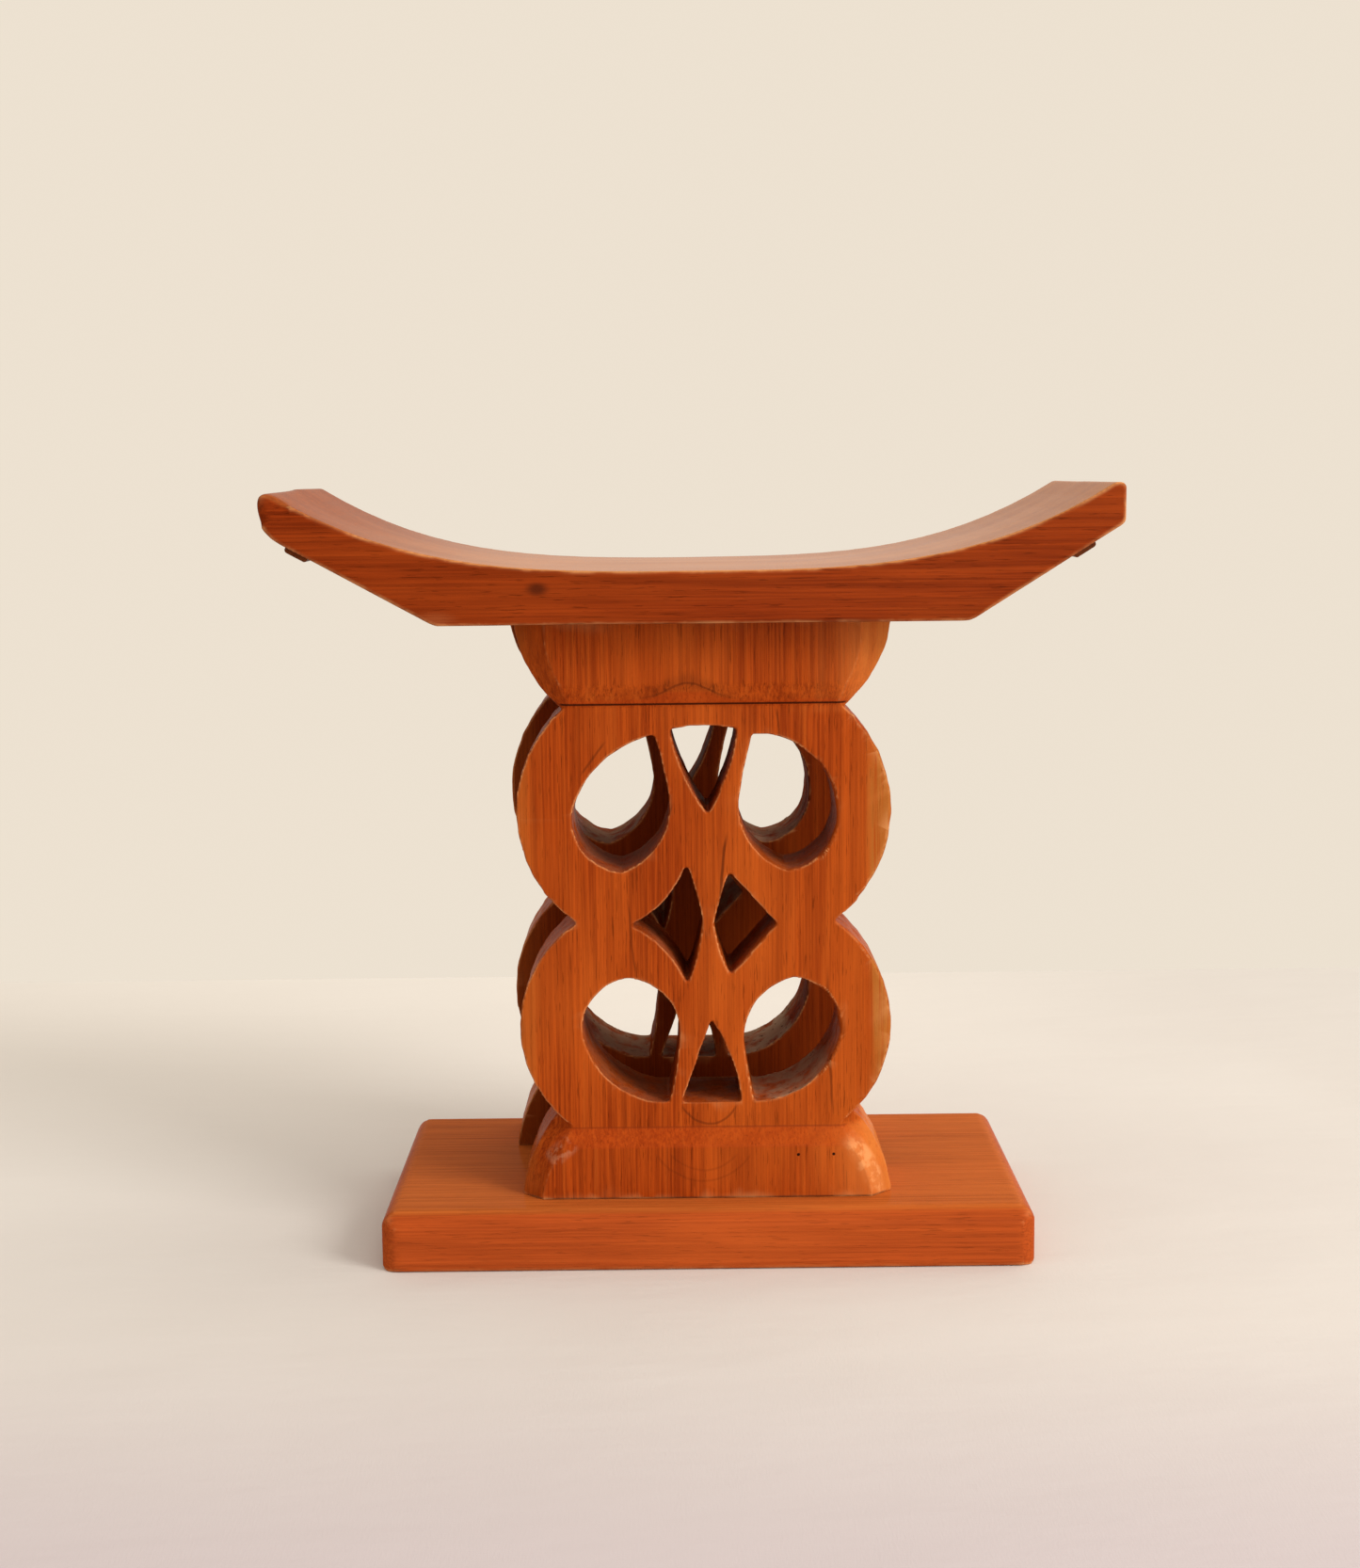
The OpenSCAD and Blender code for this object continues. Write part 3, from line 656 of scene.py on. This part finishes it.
def pores_and_holes(net, here, look):
    """A few long dark pores and two small nail holes in the foot."""
    across, up, front = front_place(net, here)
    for start, end, width, share in LONG_PORES:
        tinted(look, net, net.stroke(across, up, start, end, width) * front * share, INKY)
    for centre in NAIL_HOLES:
        hole = net.spot(across, up, centre, NAIL_HOLE_RADIUS)
        tinted(look, net, hole * front, (0.02, 0.006, 0.003))


def painted_foot_corner_highlights(net, here, look):
    """Painted highlights on the two upper corners of the foot."""
    across, up, front = front_place(net, here)
    patches = net.noise(here, 160.0, detail=3.0).step(0.42, 0.58)
    right = net.stroke(across, up, (0.084, 0.068), (0.107, 0.030), 0.010)
    left = net.stroke(across, up, (-0.066, 0.064), (-0.080, 0.052), 0.006)
    # painted highlights on the foot's upper right and upper left corners
    tinted(look, net, right * front * (patches * 0.4 + 0.15), (0.82, 0.38, 0.15))
    tinted(look, net, left * front * patches * 0.4, (0.55, 0.26, 0.15))


# %% The boards' finish
TONES_BOARD = ((0.24, 0.032, 0.004), (0.42, 0.066, 0.007), (0.54, 0.110, 0.014))
BOARD_MARKS = (sapwood_and_painted_light, capital_arch, shade_lines_and_foot_tone, scribed_circles, pores_and_holes,
               painted_foot_corner_highlights, sawn_walls_with_shade_and_sheen, edge_wear_highlight_and_crease_shade)
BOARD_CORE = (column_x - 0.03, 0.16, 0)

board_wood = wood("board_wood", "Z", BOARD_CORE, TONES_BOARD, marks=BOARD_MARKS)

# %% [markdown]
# ## The two boards
# Each board is one plank with a foot and a capital left thicker, and eight holes sawn through it.
# The outer edges of the right-hand lobes are the most worn, so they get extra sanding. A bevel would
# make every edge alike. Sanding picked edges keeps the others crisp, and the walls of the holes get
# a chisel's short waves of their own.

# %% Carve the boards
BOARD_GRID, EDGE_ZONE = 1.0 * MM, 5 * MM
WAIST, LOBES, WAIST_NOTCH, SIDE = 182.75 * MM, 110 * MM, 12 * MM, 60 * MM
BOARD_TRIANGLES = 180000


def carve_board(node, name, outwards):
    """One board; outwards is -1 if its outer face looks to the front, 1 if to the back."""
    piece = eased_copy(node, name, BOARD_GRID)
    low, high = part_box(node)
    centre = (low.x + high.x) / 2
    outer = low.y if outwards < 0 else high.y
    face = outer - outwards * EDGE_ZONE

    def outer_right_edge(co, normal):
        near = abs(co.y - face) < EDGE_ZONE
        lobe = WAIST_NOTCH < abs(co.z - WAIST) < LOBES
        return near and lobe and co.x - centre > SIDE and abs(normal.y) < 0.97

    sand(piece, outer_right_edge, 30)
    walls = piece.vertex_groups.new(name="walls")
    walls.add([v.index for v in piece.data.vertices if abs(v.normal.y) < 0.4], 1.0, "ADD")
    uneven(piece, name + "_chisel", 11 * MM, 1.1 * MM, "walls")
    uneven(piece, name + "_plane", 70 * MM, 0.5 * MM)
    thin_out(piece, BOARD_TRIANGLES)
    plane_flush(piece, node)
    done(piece, board_wood)


carve_board("front_board", "front_panel", -1)
carve_board("back_board", "back_panel", 1)

# %% [markdown]
# ## The seat
# The seat is one thick plank, redder and darker than the boards, with a paler top: partly worn pale,
# partly a painted sheen. Years of use have worn the front of its left end to a soft nose, while the
# right end is still square. One strong pass would leave a step where it ends. Seven light passes
# that each reach further back fade out.

# %% The seat's finish
seat_low, seat_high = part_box("seat")
TONES_SEAT = ((0.15, 0.018, 0.003), (0.27, 0.036, 0.005), (0.35, 0.056, 0.008))
KNOT, KNOT_RADIUS, KNOT_SQUASH = (-0.079, 0.363), 0.008, 1.6
SCUFF, SCUFF_RADIUS, SCUFF_STRETCH = (-0.132, 0.3475), 0.006, 0.4


def seat_marks(net, here, look):
    """A paler top, part wear and part painted sheen, a knot and a scuffed patch on the front."""
    out = net.node("ShaderNodeNewGeometry", out="Normal")
    across, up = net.axis(here, "X"), net.axis(here, "Z")
    top = net.axis(out, "Z").step(0.45, 0.8)
    left = 1 - across.step(-0.21, -0.08)
    figure = look["blotch"].step(0.35, 0.6) * 0.2 + 0.6
    # the top is made paler: part wear, part a painted sheen
    tinted(look, net, top * figure * (look["fibre"] * 0.8 + 0.6) * (1 - left * 0.7),
           (0.58, 0.215, 0.055))
    tinted(look, net, top * look["lines"] * 0.3, (0.25, 0.045, 0.010))
    look["varnish"] = look["varnish"] * (1 - left * 0.3)

    front = 1 - (net.axis(here, "Y") - seat_low.y).step(0.001, 0.004)
    knot = net.spot(across, up * KNOT_SQUASH, (KNOT[0], KNOT[1] * KNOT_SQUASH), KNOT_RADIUS, 0.8)
    tinted(look, net, knot * front * 0.75, (0.05, 0.010, 0.004))
    scuff = net.spot(across * SCUFF_STRETCH, up, (SCUFF[0] * SCUFF_STRETCH, SCUFF[1]),
                     SCUFF_RADIUS, 0.9)
    tinted(look, net, scuff * look["fibre"] * front * 0.45, (0.50, 0.17, 0.06))


seat_wood = wood("seat_wood", "X", (0, 0.10, 0.20), TONES_SEAT, marks=(seat_marks, edge_wear_highlight_and_crease_shade),
                 glaze=0.85)

# %% Carve the seat
PLANK_GRID = 1.25 * MM
NOSE, NOSE_REACHES = 18 * MM, range(20, 117, 16)

seat = eased_copy("seat", "seat_plank", PLANK_GRID)
for reach in NOSE_REACHES:
    limit = seat_low.y + reach * MM
    sand(seat, lambda co, normal: co.x < seat_low.x + NOSE and co.z > seat_high.z - NOSE
         and co.y < limit, 12)
uneven(seat, "seat_plane", 90 * MM, 0.6 * MM)
thin_out(seat, 160000)
plane_flush(seat, "seat")
done(seat, seat_wood)

# %% [markdown]
# ## The base
# The base is a flat plank with a well-rounded top edge, which a plane and sandpaper give. Its top is
# kicked and wiped more than its sides and is paler, partly from that wear and partly as a painted
# sheen. Only what lies near two outer faces at once is sanded, so the flats stay flat and the
# underside stays sharp.

# %% The base's finish
TONES_BASE = ((0.24, 0.032, 0.005), (0.40, 0.062, 0.010), (0.50, 0.094, 0.015))


def base_marks(net, here, look):
    """A paler top with darker lines, part wear and part painted sheen, and sides a little lighter.
    """
    out = net.node("ShaderNodeNewGeometry", out="Normal")
    top = net.axis(out, "Z").step(0.75, 0.98)
    # the top is made paler: part wear, part a painted sheen
    tinted(look, net, top * (look["fibre"] * 0.7 + 0.2), (0.64, 0.18, 0.035))
    tinted(look, net, top * look["lines"] * 0.35, (0.24, 0.04, 0.008))
    tinted(look, net, (1 - top) * 0.25, (0.62, 0.13, 0.03))


base_wood = wood("base_wood", "X", (0, 0.2, -0.14), TONES_BASE, marks=(base_marks, edge_wear_highlight_and_crease_shade),
                 gloss=0.32, glaze=0.7)

# %% Carve the base
base_low, base_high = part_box("base")
RIM, SHARP_FOOT = 7 * MM, 1.5 * MM


def rounded_edge(co, normal):
    """Near at least two of the base's outer faces, its underside left out."""
    close = [co.x < base_low.x + RIM or co.x > base_high.x - RIM,
             co.y < base_low.y + RIM or co.y > base_high.y - RIM, co.z > base_high.z - RIM]
    return sum(close) > 1 and co.z > base_low.z + SHARP_FOOT


base = eased_copy("base", "base_plank", PLANK_GRID)
sand(base, rounded_edge, 14)
thin_out(base, 120000)
plane_flush(base, "base")
done(base, base_wood)

# %% [markdown]
# ## Cleats, dowels and nails
# Two cleats are nailed under the seat's ends, and dowels hold the boards. They hardly show, and
# carving them again would add nothing, so they keep their exact solids and only get a finish: dark
# stained wood for the cleats, bare pale wood for the dowels and dull steel, rusty in spots, for the
# nails.

# %% Finishes of the small parts
TONES_CLEAT = ((0.06, 0.016, 0.006), (0.14, 0.035, 0.010), (0.22, 0.06, 0.016))
TONES_DOWEL = ((0.42, 0.24, 0.11), (0.58, 0.37, 0.18), (0.66, 0.45, 0.24))
BARE_STEEL, RUST = (0.32, 0.29, 0.27), (0.16, 0.07, 0.035)

cleat_wood = wood("cleat_wood", "Y", (0, 0, 0.3), TONES_CLEAT, gloss=0.45, coat=0.05)
dowel_wood = wood("dowel_wood", "Z", (0, 0, 0), TONES_DOWEL, gloss=0.6, coat=0.0)
steel = bpy.data.materials.new("nail_steel")
net = Net(steel)
here = net.place()
rust = net.noise(here, 900.0).step(0.5, 0.7)
bump = net.node("ShaderNodeBump", None,
                {"Strength": 0.3, "Distance": 0.1 * MM, "Height": net.noise(here, 2500.0)})
shader = net.node("ShaderNodeBsdfPrincipled", None,
                  {"Base Color": net.mix(rust, BARE_STEEL, RUST), "Metallic": 1 - rust * 0.8,
                   "Roughness": rust * 0.35 + 0.38, "Normal": bump})
net.node("ShaderNodeOutputMaterial", None, {"Surface": shader})

# %% Finish the small parts
SMALL_PARTS = (("nails", steel), ("dowel", dowel_wood), ("cleat", cleat_wood))

for name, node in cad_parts.items():
    kinds = [finish for word, finish in SMALL_PARTS if word in name]
    if kinds:
        node.data.materials.clear()
        node.data.materials.append(kinds[0])
        print(name, "gets", kinds[0].name)
